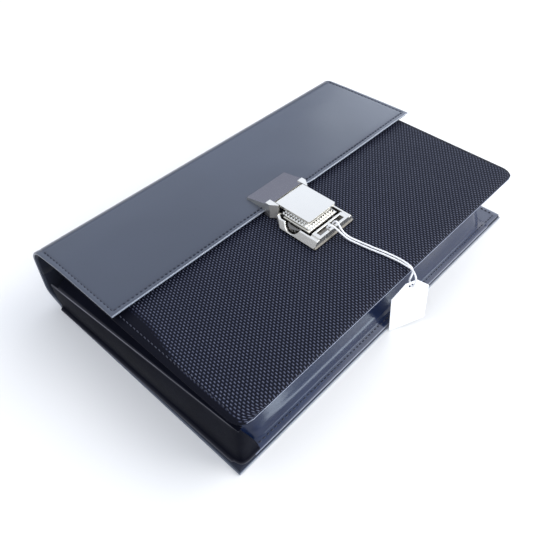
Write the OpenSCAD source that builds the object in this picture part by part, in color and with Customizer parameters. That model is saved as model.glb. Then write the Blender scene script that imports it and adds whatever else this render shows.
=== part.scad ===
// Cash deposit bag: a flat document bag with a folded spine, a flap and a combination clasp lock.
// It lies on its back. X runs across the bag, +Y from the bottom edge to the spine, +Z up.
// Every y below is counted from the bag's bottom edge; place() then centres the bag.

/* [Bag] */
// Width of the back panel
bag_w = 300; // [280:1:330]
// Distance from the bottom edge to the outside of the spine
bag_h = 193; // [190:1:205]
// Height of the front panel's outer face above the resting surface
bag_t = 50; // [48:1:56]
// Width of the front panel
front_w = 294; // [280:1:296]
// Length of the front panel
front_h = 174; // [168:1:175]
// Width of the flap
flap_w = 297; // [280:1:300]
// Distance from the bottom edge to the flap's free edge
flap_y = 105; // [104:0.5:108]
// Radius of the front panel's lower corners
corner_r = 10; // [4:1:16]

/* [Materials] */
// Thickness of the outer leather
leather_t = 1.8; // [1.6:0.1:2]
// Thickness of the lining together with its board
lining_t = 1.8; // [1.8:0.1:2.2]
// Thickness of the stiffening board
board_t = 1; // [0.8:0.1:1]
// Thickness of the gusset leather
gusset_t = 1.2; // [1:0.1:1.4]
// Gap between the front panel and the closed flap
flap_gap = 0.6; // [0.5:0.1:0.8]

/* [Folds] */
// Outer radius of the fold from the back panel to the spine
low_r = 16; // [14:1:18]
// Outer radius of the fold from the spine to the flap
high_r = 12; // [10:1:14]

/* [Lock] */
// Sideways place of the lock body
lock_x = -1.5; // [-2:0.5:0]
// Width of the lock body at its base
lock_w = 42; // [41:0.5:44]
// Distance from the bag's bottom edge to the lock body
lock_y = 55.5; // [54:0.5:56]
// Length of the lock body
lock_l = 38.5; // [38:0.5:39]
// Radius of a thumbwheel
wheel_r = 7.2; // [6.8:0.1:7.3]

/* [Clasp] */
// Sideways place of the clasp, which lies unlatched over the lock
clasp_x = 1.5; // [0:0.5:2]
// Width of the clasp housing
clasp_w = 38; // [37:0.5:39]
// Width of the hinged plate
plate_w = 28; // [26:0.5:28]
// Length of the hinged plate from its pin to its tip
plate_l = 30; // [29:0.5:31]

/* [Tag] */
// Width of the price tag
tag_w = 27.5; // [24:0.5:29]
// Height of the price tag
tag_h = 45; // [40:0.5:46]
// Diameter of the tag's string
string_d = 1.3; // [1.2:0.1:1.4]

/* [Hidden] */
$fn = 48;

eps = 0.01;
// Gap between two pieces at a fold line, and the angle where the fold lines lie
fold_gap = 0.3;
fold_angle = 45;
// Centres of the two fold arcs, as y and z
low_c = [bag_h - low_r, low_r];
flap_z = bag_t + flap_gap;
flap_top = flap_z + lining_t + leather_t;
high_c = [bag_h - high_r, flap_top - high_r];
// How far the boards stay inside the panel edges
board_inset = 9;
// Seam threads: distance from the edge, width and height
seam = 4;
thread_w = 0.6;
thread_t = 0.2;
// Inner face of the front stack
front_in = bag_t - leather_t - lining_t;
back_in = leather_t + lining_t;

module place() translate([0, -bag_h / 2, 0]) children();

// A profile drawn in y and z, extruded across the bag
module across(w) rotate([90, 0, 90]) linear_extrude(w, center = true) children();

// A cuboid between two corners
module block(a, b) translate(a) cube(b - a);

// A strip bent round centre c: outer radius r, thickness t, from angle a0 to a1 (under 180 degrees)
module arc_band(c, r, t, a0, a1) {
    reach = 2 * r;
    mid = (a0 + a1) / 2;
    translate(c) intersection() {
        difference() {
            circle(r, $fn = 96);
            circle(r - t, $fn = 96);
        }
        polygon([for (p = [[0, 0], [reach, a0], [reach * 1.5, mid], [reach, a1]])
            p[0] * [cos(p[1]), sin(p[1])]]);
    }
}

// A flat sheet of width w from y0 to y1, with round corners of radius r at y0
module sheet(w, y0, y1, z0, z1, r) {
    translate([0, 0, z0]) linear_extrude(z1 - z0) {
        translate([-w / 2 + r, y0]) square([w - 2 * r, y1 - y0]);
        translate([-w / 2, y0 + r]) square([w, y1 - y0 - r]);
        for (s = [-1, 1]) translate([s * (w / 2 - r), y0 + r]) circle(r);
    }
}

// Half of the fold gap as an angle on an arc of radius r
function gap_angle(r) = fold_gap / 2 / r * 180 / PI;

/* ---- rivet places ---- */
lock_rivet_at = [for (x = [-13, 13], y = [67, 90]) [lock_x + x, y]];
clasp_rivet_at = [for (x = [-13.5, 13.5], y = [110, 116]) [clasp_x + x, y]];
lock_rivet_r = 1.3;
clasp_rivet_r = 1.2;
rivet_gap = 0.1;
module holes(at, r, z0, z1) for (p = at) translate([p[0], p[1], z0]) cylinder(r = r, h = z1 - z0);

/* ---- back ---- */
module back_panel() place() color("#1b2233") across(bag_w) {
    square([low_c[0], leather_t]);
    arc_band(low_c, low_r, leather_t, -90, -fold_angle - gap_angle(low_r));
}

module back_board() place() color("#8a7f6a")
    block([-bag_w / 2 + board_inset, board_inset, leather_t],
        [bag_w / 2 - board_inset, low_c[0] - board_inset, leather_t + board_t]);

module back_lining() place() color("#2a3350") difference() {
    across(bag_w) {
        translate([0, leather_t]) square([low_c[0], lining_t]);
        arc_band(low_c, low_r - leather_t, lining_t, -90, -fold_angle - gap_angle(low_r));
    }
    block([-bag_w / 2 + board_inset, board_inset, leather_t - eps],
        [bag_w / 2 - board_inset, low_c[0] - board_inset, leather_t + board_t]);
}

// Seam along the gusset's bottom flange
module back_thread() place() color("#10141f")
    block([gus_x0, seam - thread_w / 2, back_in + gusset_t],
        [gus_x1, seam + thread_w / 2, back_in + gusset_t + thread_t]);

/* ---- front ---- */
module front_panel() place() color("#141a28") difference() {
    sheet(front_w, 0, front_h, bag_t - leather_t, bag_t, corner_r);
    holes(lock_rivet_at, lock_rivet_r + rivet_gap, bag_t - leather_t - eps, bag_t + eps);
}

// Space cut from the board for the lock's backing plate
plate_lo = [lock_x - 17, 63];
plate_hi = [lock_x + 17, 93];

module front_board() place() color("#8a7f6a") difference() {
    block([-front_w / 2 + board_inset, board_inset, bag_t - leather_t - board_t],
        [front_w / 2 - board_inset, front_h - board_inset, bag_t - leather_t]);
    block([plate_lo[0], plate_lo[1], bag_t - leather_t - board_t - eps],
        [plate_hi[0], plate_hi[1], bag_t - leather_t + eps]);
}

module front_lining() place() color("#2a3350") difference() {
    sheet(front_w, 0, front_h, front_in, bag_t - leather_t, corner_r);
    block([-front_w / 2 + board_inset, board_inset, bag_t - leather_t - board_t],
        [front_w / 2 - board_inset, front_h - board_inset, bag_t - leather_t + eps]);
}

module front_thread() place() color("#10141f") difference() {
    x = front_w / 2 - seam + thread_w / 2;
    block([-x, seam - thread_w / 2, bag_t], [x, front_h - seam, bag_t + thread_t]);
    block([-x + thread_w, seam + thread_w / 2, bag_t - eps], [x - thread_w, front_h, bag_t + 1]);
}

/* ---- divider and gussets ---- */
// The divider slopes from the front panel's bottom edge down to the middle of the mouth
div_t = 1.4;
div_y0 = 12;
div_y1 = 172;
ridge_z0 = 44;
ridge_z1 = 25;
gus_y0 = 4;
gus_y1 = 176;
function ridge_z(y) = ridge_z0 + (ridge_z1 - ridge_z0) * (y - gus_y0) / (gus_y1 - gus_y0);

module divider() place() color("#232b44") across(bag_w - 16) polygon([
    [div_y0, ridge_z(div_y0) - div_t / 2], [div_y1, ridge_z(div_y1) - div_t / 2],
    [div_y1, ridge_z(div_y1) + div_t / 2], [div_y0, ridge_z(div_y0) + div_t / 2]
]);

// The bottom gusset: a flange on the back panel and a wall that bows inwards. It stops short of
// the right corner, where the side strips start later too and the leather is tucked in.
gus_x0 = -138;
gus_x1 = 130;
gus_bow_r = 44;
gus_deep = 12;
module bottom_gusset() place() color("#1c2438") {
    half = (front_in - back_in) / 2;
    c = [gus_deep - gus_bow_r, back_in + half];
    translate([(gus_x0 + gus_x1) / 2, 0, 0]) across(gus_x1 - gus_x0) {
        translate([1.5, back_in]) square([6.6, gusset_t]);
        intersection() {
            arc_band(c, gus_bow_r, gusset_t, -50, 50);
            translate([0, back_in]) square([20, 2 * half]);
        }
    }
}

// The left side strips. The main strip is a flat wall from the back panel up to the ridge. The
// pocket strip goes on from the ridge to the front panel and folds inwards once. Its edges meet
// in one point ahead of the bag's bottom edge, so every fold is flat.
valley_in = 13;
side_in = front_w / 2 - 1;
side_out = bag_w / 2 - 1 - side_in;
side_t = gusset_t + 0.3;
// Height of the pocket strip at distance y, and its share of the height at the mouth
function pocket_h(y) = front_in + 1 - ridge_z(y);
function share(y) = pocket_h(y) / pocket_h(gus_y1);
function ridge_point(y) = [-side_in - side_out * share(y), ridge_z(y) - 1];
function main_line(y) = let (p = ridge_point(y)) [[p[0], back_in], p];
function pocket_line(y) = [
    ridge_point(y),
    [-side_in + valley_in * share(y), front_in - pocket_h(y) / 2],
    [-side_in, front_in]
];
function strip_ring(line, y) = concat(
    [for (p = line) [p[0], y, p[1]]],
    [for (i = [len(line) - 1:-1:0]) [line[i][0] + side_t, y, line[i][1]]]
);

// A closed solid between two rings of points, capped with a quad for each part of the line
module loft(rings) {
    n = len(rings[0]);
    last = (len(rings) - 1) * n;
    side = [for (i = [0:len(rings) - 2], j = [0:n - 1], h = [0, 1])
        let (a = i * n + j, b = i * n + (j + 1) % n)
        h == 0 ? [a, b, b + n] : [a, b + n, a + n]];
    caps = [for (j = [0:n / 2 - 2], h = [0, 1])
        let (quad = [j, j + 1, n - 2 - j, n - 1 - j])
        h == 0 ? [for (k = [3:-1:0]) quad[k]] : [for (k = quad) k + last]];
    polyhedron(points = [for (r = rings, p = r) p], faces = concat(side, caps), convexity = 6);
}

right_y0 = 24;
module main_gusset(y0) color("#161c2c")
    loft([for (y = [y0, gus_y1]) strip_ring(main_line(y), y)]);
module pocket_gusset(y0) color("#161c2c")
    loft([for (y = [y0, gus_y1]) strip_ring(pocket_line(y), y)]);
module main_gusset_left() place() main_gusset(gus_y0);
module main_gusset_right() place() mirror([1, 0, 0]) main_gusset(right_y0);
module pocket_gusset_left() place() pocket_gusset(gus_y0);
module pocket_gusset_right() place() mirror([1, 0, 0]) pocket_gusset(right_y0);

/* ---- spine and flap ---- */
module spine_profile(inset, t) {
    arc_band(low_c, low_r - inset, t, -fold_angle + gap_angle(low_r), 0);
    translate([bag_h - inset - t, low_c[1]]) square([t, high_c[1] - low_c[1]]);
    arc_band(high_c, high_r - inset, t, 0, fold_angle - gap_angle(high_r));
}
module flap_profile(inset, t) {
    arc_band(high_c, high_r - inset, t, fold_angle + gap_angle(high_r), 90);
    translate([flap_y, flap_top - inset - t]) square([high_c[0] - flap_y, t]);
}

module spine_leather() place() color("#1b2233") across(flap_w) spine_profile(0, leather_t);
module spine_lining() place() color("#2a3350") across(flap_w - 2) spine_profile(leather_t, lining_t);

module flap_leather() place() color("#1b2233") difference() {
    across(flap_w) flap_profile(0, leather_t);
    holes(clasp_rivet_at, clasp_rivet_r + rivet_gap, flap_top - leather_t - eps, flap_top + eps);
}

flap_board_lo = [-flap_w / 2 + board_inset, flap_y + 3, flap_z + lining_t - board_t];
flap_board_hi = [flap_w / 2 - board_inset, high_c[0] - board_inset, flap_z + lining_t];
// Space cut from the board for the clasp's backing plate
clasp_back_lo = [clasp_x - 17, 108];
clasp_back_hi = [clasp_x + 17, 118.5];

module flap_board() place() color("#8a7f6a") difference() {
    block(flap_board_lo, flap_board_hi);
    block([clasp_back_lo[0], clasp_back_lo[1] - 1, flap_board_lo[2] - eps],
        [clasp_back_hi[0], clasp_back_hi[1], flap_board_hi[2] + eps]);
}

module flap_lining() place() color("#2a3350") difference() {
    across(flap_w) flap_profile(leather_t, lining_t);
    block(flap_board_lo, flap_board_hi + [0, 0, eps]);
}

module flap_thread() place() color("#10141f") difference() {
    x = flap_w / 2 - seam + thread_w / 2;
    y = flap_y + seam;
    block([-x, y - thread_w / 2, flap_top], [x, high_c[0], flap_top + thread_t]);
    block([-x + thread_w, y + thread_w / 2, flap_top - eps], [x - thread_w, bag_h, flap_top + 1]);
    block([clasp_x - clasp_w / 2 - 1, y - 1, flap_top - eps],
        [clasp_x + clasp_w / 2 + 1, y + 1, flap_top + 1]);
}

/* ---- lock body on the front panel ---- */
base_t = 1.2;
// Heights of the casing: its foot, its rim and its window frame
case_z0 = bag_t + base_t;
case_z1 = bag_t + 6;
frame_z = bag_t + 7;
// Half width of the casing at its rim
rim_x = 18.2;
case_wall = 1.5;
case_y0 = lock_y + 0.8;
case_y1 = lock_y + lock_l;
frame_y1 = lock_y + 8;
// Chamfers of the plan: small in front, large behind
front_cut = 0.8;
rear_cut = 5;
// Thumbwheels: height of the underside, thickness and centre
wheel_z = bag_t + 2;
wheel_t = 2.4;
wheel_at = [11.5, 78.5];
axle_r = 1.5;
axle_gap = 0.08;
collar_t = 0.7;

// Outline of the lock in plan
module lock_outline(half_w, y0, y1, rear) polygon([
    [-half_w + front_cut, y0], [half_w - front_cut, y0], [half_w, y0 + front_cut],
    [half_w, y1 - rear * 1.4], [half_w - rear, y1],
    [-half_w + rear, y1], [-half_w, y1 - rear * 1.4], [-half_w, y0 + front_cut]
]);

module lock_base() place() color("#c8ccd0") difference() {
    translate([lock_x, 0, bag_t]) linear_extrude(base_t)
        lock_outline(lock_w / 2, lock_y, case_y1, rear_cut);
    holes(lock_rivet_at, lock_rivet_r + rivet_gap, bag_t - eps, bag_t + base_t + eps);
}

// Cross-section of the casing with its walls leaning inwards, at an inset from the outside
module case_section(inset, z0, z1) {
    lean = (lock_w / 2 - rim_x) / (case_z1 - case_z0);
    half0 = lock_w / 2 - inset - lean * (z0 - case_z0);
    half1 = lock_w / 2 - inset - lean * (z1 - case_z0);
    polygon([[-half0, z0], [half0, z0], [half1, z1], [-half1, z1]]);
}
// A cross-section drawn in x and z, extruded from y0 to y1
module along(y0, y1) translate([0, y1, 0]) rotate([90, 0, 0]) linear_extrude(y1 - y0) children();

window_w = 11;
window_l = 3.6;
window_x = 1.3;
window_y = lock_y + 2.9;
frame_t = 1.2;
frame_half = 15.4;
notch_r = 7;
notch_z = bag_t + 8.5;

module lock_casing() place() color("#e4e6e8") translate([lock_x, 0, 0]) difference() {
    union() {
        intersection() {
            along(case_y0, case_y1) case_section(0, case_z0, case_z1);
            translate([0, 0, case_z0]) linear_extrude(case_z1 - case_z0)
                lock_outline(lock_w / 2, case_y0, case_y1, rear_cut);
        }
        block([-frame_half, case_y0, case_z0], [frame_half, frame_y1, frame_z]);
    }
    // Room for the slide, the wheels and the bolt
    intersection() {
        along(frame_y1, case_y1) case_section(case_wall, case_z0 - 1, case_z1 + 1.5);
        translate([0, 0, case_z0 - 1]) linear_extrude(9)
            lock_outline(lock_w / 2 - case_wall, frame_y1 - 9, case_y1 - case_wall, rear_cut);
    }
    // Room under the window frame
    block([-frame_half + 1.6, case_y0 + case_wall, case_z0 - 1],
        [frame_half - 1.6, frame_y1 + eps, frame_z - frame_t]);
    // Windows either side of the middle bar
    for (s = [0, 1]) mirror([s, 0, 0])
        block([window_x, window_y, case_z0], [window_x + window_w, window_y + window_l, frame_z + 1]);
    // Finger notches over the wheels
    translate([-lock_w, wheel_at[1], notch_z]) rotate([0, 90, 0]) cylinder(r = notch_r, h = 2 * lock_w);
}

module lock_backing_plate() place() color("#9aa0a6") difference() {
    block([plate_lo[0], plate_lo[1], bag_t - leather_t - board_t],
        [plate_hi[0], plate_hi[1], bag_t - leather_t]);
    holes(lock_rivet_at, lock_rivet_r + rivet_gap, bag_t - 5, bag_t);
}

module lock_rivets() place() color("#b8bcc0") for (p = lock_rivet_at) translate([p[0], p[1], 0]) {
    translate([0, 0, bag_t - leather_t - board_t])
        cylinder(r = lock_rivet_r, h = leather_t + board_t + base_t);
    translate([0, 0, bag_t + base_t]) cylinder(r = 2.4, h = 0.7);
}

// The wheels turn on pins with a collar at the foot
module wheel_axles() place() color("#b8bcc0") for (s = [-1, 1])
    translate([lock_x + s * wheel_at[0], wheel_at[1], case_z0]) {
        cylinder(r = 2.6, h = collar_t);
        cylinder(r = axle_r, h = bag_t + 4.5 - case_z0);
    }

wheel_teeth = 24;
module thumbwheel(s) place() color("#a9adb2")
    translate([lock_x + s * wheel_at[0], wheel_at[1], wheel_z]) difference() {
        cylinder(r = wheel_r, h = wheel_t);
        translate([0, 0, -1]) cylinder(r = axle_r + axle_gap, h = wheel_t + 2);
        translate([0, 0, wheel_t - 0.4]) difference() {
            cylinder(r = wheel_r - 1.6, h = 1);
            cylinder(r = axle_r + 1.2, h = 3, center = true);
        }
        for (i = [0:wheel_teeth - 1]) rotate(i * 360 / wheel_teeth)
            translate([wheel_r + 0.15, 0, wheel_t / 2]) rotate(45)
                cube([0.9, 0.9, wheel_t + 1], center = true);
    }
module thumbwheel_left() thumbwheel(-1);
module thumbwheel_right() thumbwheel(1);

// Leaf springs that click into the wheels' teeth
module detent_springs() place() color("#9aa0a6") translate([lock_x, 0, 0])
    for (s = [0, 1]) mirror([s, 0, 0]) {
        y = wheel_at[1] + wheel_r + 1.3;
        block([4.6, y + 0.2, case_z0], [6.6, 91, bag_t + 4.2]);
        block([6.5, y + 0.2, wheel_z], [14.5, y + 0.7, bag_t + 4.2]);
        translate([wheel_at[0], y, wheel_z]) cylinder(r = 0.9, h = 2.2);
    }

slide_y0 = 66.3;
slide_y1 = 92;
slide_half = 12.5;
slide_z0 = bag_t + 4.8;
slide_z1 = bag_t + 7;
knurl = 2.4;
slot_half = 7;
slot_y0 = 74.8;
slot_y1 = 84;
// A plate with a grid of four-sided points, and a slot for the clasp's hook
module release_slide() place() color("#d8dadc") translate([lock_x, 0, 0]) difference() {
    union() {
        block([-slide_half, slide_y0, slide_z0], [slide_half, slide_y1, slide_z1]);
        block([-slide_half - 2.1, slide_y0, slide_z0], [slide_half + 2.1, slide_y1 - 2.5, slide_z0 + 0.8]);
    }
    block([-slot_half, slot_y0, slide_z0 - 1], [slot_half, slot_y1, slide_z1 + 1]);
    for (x = [-slide_half:knurl:slide_half + eps])
        translate([x, 0, slide_z1]) rotate([0, 45, 0])
            translate([0, slide_y0 + slide_y1, 0] / 2) cube([1.6, 60, 1.6], center = true);
    for (y = [slide_y0:knurl:slide_y1])
        translate([0, y, slide_z1]) rotate([45, 0, 0]) cube([60, 1.6, 1.6], center = true);
}

bolt_y = [68.5, 74.5];
module lock_bolt() place() color("#9aa0a6")
    block([lock_x - 3.5, bolt_y[0], bag_t + 2.2], [lock_x + 3.5, bolt_y[1], slide_z0]);

// Points of a helix along y
coil_r = 1.1;
coil_y = [75, 89.4];
coil_turns = 12;
coil_steps = 10;
coil_z = bag_t + 3.4;
function coil() = [for (i = [0:coil_turns * coil_steps])
    [lock_x + coil_r * cos(i * 360 / coil_steps),
        coil_y[0] + (coil_y[1] - coil_y[0]) * i / coil_turns / coil_steps,
        coil_z + coil_r * sin(i * 360 / coil_steps)]];
module return_spring() place() color("#b8bcc0") tube(coil(), 0.22, 6);

/* ---- clasp on the flap ---- */
clasp_top = flap_top + 6.2;
clasp_y0 = 101;
clasp_y1 = 122.5;
rear_h = 1.4;
pin_r = 0.5;
pin_gap = 0.08;
pin_at = [99.6, clasp_top - 1.1];
knuckle_r = 1.1;
plate_t = 1.8;
ear_in = plate_w / 2 + 0.4;
ear_tip = 94.6;
shell_t = 1.4;

// Half width of the housing at height z. Its sides lean inwards.
function half_w_at(z) = clasp_w / 2 + 0.11 * (clasp_top - z);

// Front of the ears at height z, which leans back
function tip_at(z) = ear_tip + 0.18 * (z - flap_z);
// Direction of the ears' cut corner, and how far along it the cut lies at height z
corner_cut = [5, 3.8] / norm([5, 3.8]);
function corner_at(z) = corner_cut * [-half_w_at(z), tip_at(z) + 5];

// Ear of the housing beside the hinged plate
module ear() intersection() {
    along(ear_tip, flap_y) polygon([
        [-half_w_at(flap_z), flap_z], [-ear_in, flap_z], [-ear_in, clasp_top], [-clasp_w / 2, clasp_top]
    ]);
    across(clasp_w + 4) polygon([
        [tip_at(flap_z), flap_z], [flap_y, flap_z], [flap_y, clasp_top], [tip_at(clasp_top), clasp_top]
    ]);
    rotate(atan2(corner_cut[1], corner_cut[0]) - 90) across(240) polygon([
        [corner_at(flap_z), flap_z], [corner_at(flap_z) + 40, flap_z],
        [corner_at(flap_z) + 40, clasp_top], [corner_at(clasp_top), clasp_top]
    ]);
}

// Height of the roof over the flap at distance y, which slopes down to the rear
function roof_z(y) = clasp_top
    - (clasp_top - flap_top - rear_h) * (y - clasp_y0) / (clasp_y1 - clasp_y0);

// The wedge of the housing, with an apron in front of the flap's edge
module clasp_wedge() intersection() {
    across(clasp_w + 4) polygon([
        [clasp_y0, flap_z], [flap_y, flap_z], [flap_y, flap_top], [clasp_y1, flap_top],
        [clasp_y1, roof_z(clasp_y1)], [clasp_y0, clasp_top]
    ]);
    along(clasp_y0, clasp_y1) polygon([
        [-half_w_at(flap_z), flap_z], [half_w_at(flap_z), flap_z],
        [clasp_w / 2, clasp_top], [-clasp_w / 2, clasp_top]
    ]);
}

module clasp_housing() place() color("#dfe1e4") translate([clasp_x, 0, 0]) difference() {
    union() {
        difference() {
            clasp_wedge();
            across(clasp_w - 2 * shell_t) polygon([
                [flap_y + 0.2, flap_top - 1], [clasp_y1 - 3.5, flap_top - 1],
                [clasp_y1 - 3.5, roof_z(clasp_y1 - 3.5) - shell_t],
                [flap_y + 0.2, roof_z(flap_y + 0.2) - shell_t]
            ]);
        }
        for (s = [0, 1]) mirror([s, 0, 0]) ear();
        for (p = clasp_rivet_at) translate([p[0] - clasp_x, p[1], flap_top])
            cylinder(r = 2.4, h = 2.3);
    }
    for (p = clasp_rivet_at) translate([p[0] - clasp_x, p[1], flap_top - 1])
        cylinder(r = clasp_rivet_r + rivet_gap, h = 2.9);
    // Bore for the pin, blind at both ends
    translate([0, pin_at[0], pin_at[1]]) rotate([0, 90, 0])
        cylinder(r = pin_r + 0.02, h = 2 * ear_in + 4.4, center = true, $fn = 32);
}

module clasp_backing_plate() place() color("#9aa0a6") difference() {
    block([clasp_back_lo[0], clasp_back_lo[1], flap_z + lining_t - board_t],
        [clasp_back_hi[0], clasp_back_hi[1], flap_z + lining_t]);
    holes(clasp_rivet_at, clasp_rivet_r + rivet_gap, flap_z, flap_top);
}

module clasp_rivets() place() color("#b8bcc0") for (p = clasp_rivet_at)
    translate([p[0], p[1], flap_z + lining_t - board_t])
        cylinder(r = clasp_rivet_r, h = board_t + leather_t + 1.7);

module clasp_pin() place() color("#b8bcc0") translate([clasp_x, pin_at[0], pin_at[1]])
    rotate([0, 90, 0]) cylinder(r = pin_r, h = 2 * ear_in + 4.2, center = true, $fn = 32);

module clasp_plate() place() color("#f2f3f4") translate([clasp_x, 0, 0]) difference() {
    half = plate_w / 2;
    tip = pin_at[0] - plate_l;
    union() {
        translate([0, 0, clasp_top - plate_t]) linear_extrude(plate_t) polygon([
            [-half, pin_at[0]], [-half, tip + 1], [-half + 1, tip],
            [half - 1, tip], [half, tip + 1], [half, pin_at[0]]
        ]);
        translate([0, pin_at[0], pin_at[1]]) rotate([0, 90, 0])
            cylinder(r = knuckle_r, h = plate_w, center = true, $fn = 32);
    }
    translate([0, pin_at[0], pin_at[1]]) rotate([0, 90, 0])
        cylinder(r = pin_r + pin_gap, h = plate_w + 1, center = true, $fn = 32);
}

hook_half = 3;
hook_low = bag_t + 6.6;
module clasp_hook() place() color("#b8bcc0") translate([clasp_x, 0, 0]) {
    block([-hook_half, 77.5, hook_low], [hook_half, 79.5, clasp_top - plate_t]);
    block([-hook_half, 75.6, hook_low], [hook_half, 77.6, hook_low + 1]);
}

/* ---- price tag ---- */
// Route of the string: from under the lock's middle bar, down over the front panel, through the
// tag's hole and back
route = [
    [-2.1, 60.2, 54.4], [-3.9, 60.2, 55.2], [-4.7, 60.2, 57.0], [-4.2, 57.6, 59.6],
    [-3.0, 54.9, 58.6], [-1.6, 52.3, 56.0], [-0.3, 49.8, 53.6], [1.0, 46.0, 51.5],
    [2.4, 40.0, 50.8], [4.1, 30.0, 50.8], [6.2, 20.0, 50.8], [7.4, 11.0, 50.8],
    [7.3, 4.6, 51.0], [6.6, 0.2, 51.6], [4.6, -3.6, 51.9], [2.6, -6.6, 50.9],
    [1.0, -8.0, 48.4], [0.6, -7.6, 45.7], [0.9, -6.9, 43.9], [1.7, -5.2, 43.1],
    [2.5, -3.5, 43.9], [2.8, -2.8, 45.7], [3.6, -2.9, 48.2], [5.6, -2.3, 50.2],
    [7.9, 0.2, 51.0], [8.9, 4.6, 50.9], [9.0, 11.0, 50.8], [7.8, 20.0, 50.8],
    [5.7, 30.0, 50.8], [4.0, 40.0, 50.8], [2.6, 46.0, 51.5], [1.4, 49.8, 53.6],
    [0.9, 52.3, 56.0], [1.0, 54.9, 58.6], [1.4, 57.6, 59.6], [1.7, 60.2, 57.0],
    [0.9, 60.2, 55.2], [-0.9, 60.2, 54.4]
];

// Smooth points through a route, with a number of steps to each stretch
function smooth(a, b, c, d, t) =
    b + (c - a) * t / 2 + (2 * a - 5 * b + 4 * c - d) * pow(t, 2) / 2
    + (3 * b - a - 3 * c + d) * pow(t, 3) / 2;
function spline(p, steps) =
    let (n = len(p) - 1)
    [for (i = [0:n - 1], k = [0:steps - (i == n - 1 ? 0 : 1)])
        smooth(p[max(i - 1, 0)], p[i], p[i + 1], p[min(i + 2, n)], k / steps)];

// Rings round a line of points, each carried on from the one before without twisting
function unit(v) = v / norm(v);
function tangent(p, i) = unit(p[min(i + 1, len(p) - 1)] - p[max(i - 1, 0)]);
function carried(u, t) = unit(u - t * (u * t));
function frames(p, i = 0, u = [0.2, 0.3, 1]) =
    i >= len(p) ? [] : let (t = tangent(p, i), v = carried(u, t))
        concat([[v, cross(t, v)]], frames(p, i + 1, v));
module tube(p, r, sides) {
    f = frames(p);
    loft([for (i = [0:len(p) - 1]) [for (k = [0:sides - 1])
        p[i] + r * (f[i][0] * cos(-k * 360 / sides) + f[i][1] * sin(-k * 360 / sides))]]);
}
module tag_string() place() color("#f2f1ec") tube(spline(route, 2), string_d / 2, 8);

// The tag stands on a lower corner, turned and leaning, and its hole is on the string
tag_t = 0.4;
tag_turn = -25;
tag_lean = 6;
tag_foot = [5.6, -7, 1.8];
tag_hole = [0, 41.5];
module tag_card() place() color("#f7f7f5")
    translate(tag_foot) rotate([0, 0, tag_turn]) rotate([0, -tag_lean, 0]) rotate([90, 0, 0])
        translate([0, 0, -tag_t / 2]) linear_extrude(tag_t) difference() {
            polygon([
                [-tag_w / 2, 0], [tag_w / 2, 0], [tag_w / 2, tag_h - 10.5], [4.2, tag_h],
                [-4.2, tag_h], [-tag_w / 2, tag_h - 10.5]
            ]);
            translate(tag_hole) circle(1.8);
        }

back_panel();
back_board();
back_lining();
back_thread();
front_panel();
front_board();
front_lining();
front_thread();
divider();
bottom_gusset();
main_gusset_left();
main_gusset_right();
pocket_gusset_left();
pocket_gusset_right();
spine_leather();
spine_lining();
flap_leather();
flap_board();
flap_lining();
flap_thread();
lock_base();
lock_casing();
lock_backing_plate();
lock_rivets();
wheel_axles();
thumbwheel_left();
thumbwheel_right();
detent_springs();
release_slide();
lock_bolt();
return_spring();
clasp_housing();
clasp_backing_plate();
clasp_rivets();
clasp_pin();
clasp_plate();
clasp_hook();
tag_string();
tag_card();
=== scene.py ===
"""A navy leather deposit bag with a chrome clasp lock and a price tag, built around its CAD frame."""
import bisect
import math

import bmesh
import bpy
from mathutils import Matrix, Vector, noise


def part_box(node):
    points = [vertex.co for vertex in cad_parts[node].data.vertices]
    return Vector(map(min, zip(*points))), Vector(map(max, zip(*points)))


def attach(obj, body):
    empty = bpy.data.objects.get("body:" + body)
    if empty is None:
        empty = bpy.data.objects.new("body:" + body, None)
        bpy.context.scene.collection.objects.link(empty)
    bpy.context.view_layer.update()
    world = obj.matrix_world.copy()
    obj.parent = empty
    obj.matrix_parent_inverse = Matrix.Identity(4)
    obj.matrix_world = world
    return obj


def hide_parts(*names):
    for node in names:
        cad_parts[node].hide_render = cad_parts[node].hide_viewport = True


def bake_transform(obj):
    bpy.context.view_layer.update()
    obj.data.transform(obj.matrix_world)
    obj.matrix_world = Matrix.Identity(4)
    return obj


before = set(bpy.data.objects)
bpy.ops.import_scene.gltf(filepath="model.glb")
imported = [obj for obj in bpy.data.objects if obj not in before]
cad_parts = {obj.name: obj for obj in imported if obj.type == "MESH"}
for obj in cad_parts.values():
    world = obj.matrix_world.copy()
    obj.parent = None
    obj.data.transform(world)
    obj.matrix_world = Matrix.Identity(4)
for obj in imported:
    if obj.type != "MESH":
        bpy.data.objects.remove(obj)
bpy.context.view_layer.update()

scene = bpy.context.scene

# ---- sizes, in millimetres, with x across the bag, y from its bottom edge and z up ----
MM = 0.001
ORIGIN_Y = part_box("back_panel")[0].y / MM


def size_of(node):
    """Lowest and highest corner of a CAD node, in millimetres, y from the bag's bottom edge."""
    low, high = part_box(node)
    shift = Vector((0, ORIGIN_Y, 0))
    return low / MM - shift, high / MM - shift


def place(x, y, z):
    return Vector((x * MM, (y + ORIGIN_Y) * MM, z * MM))


BACK = size_of("back_panel")
FRONT = size_of("front_panel")
FLAP = size_of("flap_leather")
SPINE = size_of("spine_leather")
BAG_W = BACK[1].x - BACK[0].x
BAG_H = SPINE[1].y
BAG_T = FRONT[1].z
FRONT_W = FRONT[1].x - FRONT[0].x
FRONT_H = FRONT[1].y
FLAP_W = FLAP[1].x - FLAP[0].x
FLAP_Y = FLAP[0].y
FLAP_TOP = FLAP[1].z
SKIN = 1.8
LOW_R = 16.0
HIGH_R = 12.0
LOW_C = (BAG_H - LOW_R, LOW_R)
HIGH_C = (BAG_H - HIGH_R, FLAP_TOP - HIGH_R)
SEAM_Z = 29.0
BACK_IN = 2 * SKIN
FRONT_IN = BAG_T - 2 * SKIN
CORNER_R = 10.0
STITCH_IN = 4.0
FLAP_SEAM = 3.1
CLASP_X = 1.5


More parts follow.
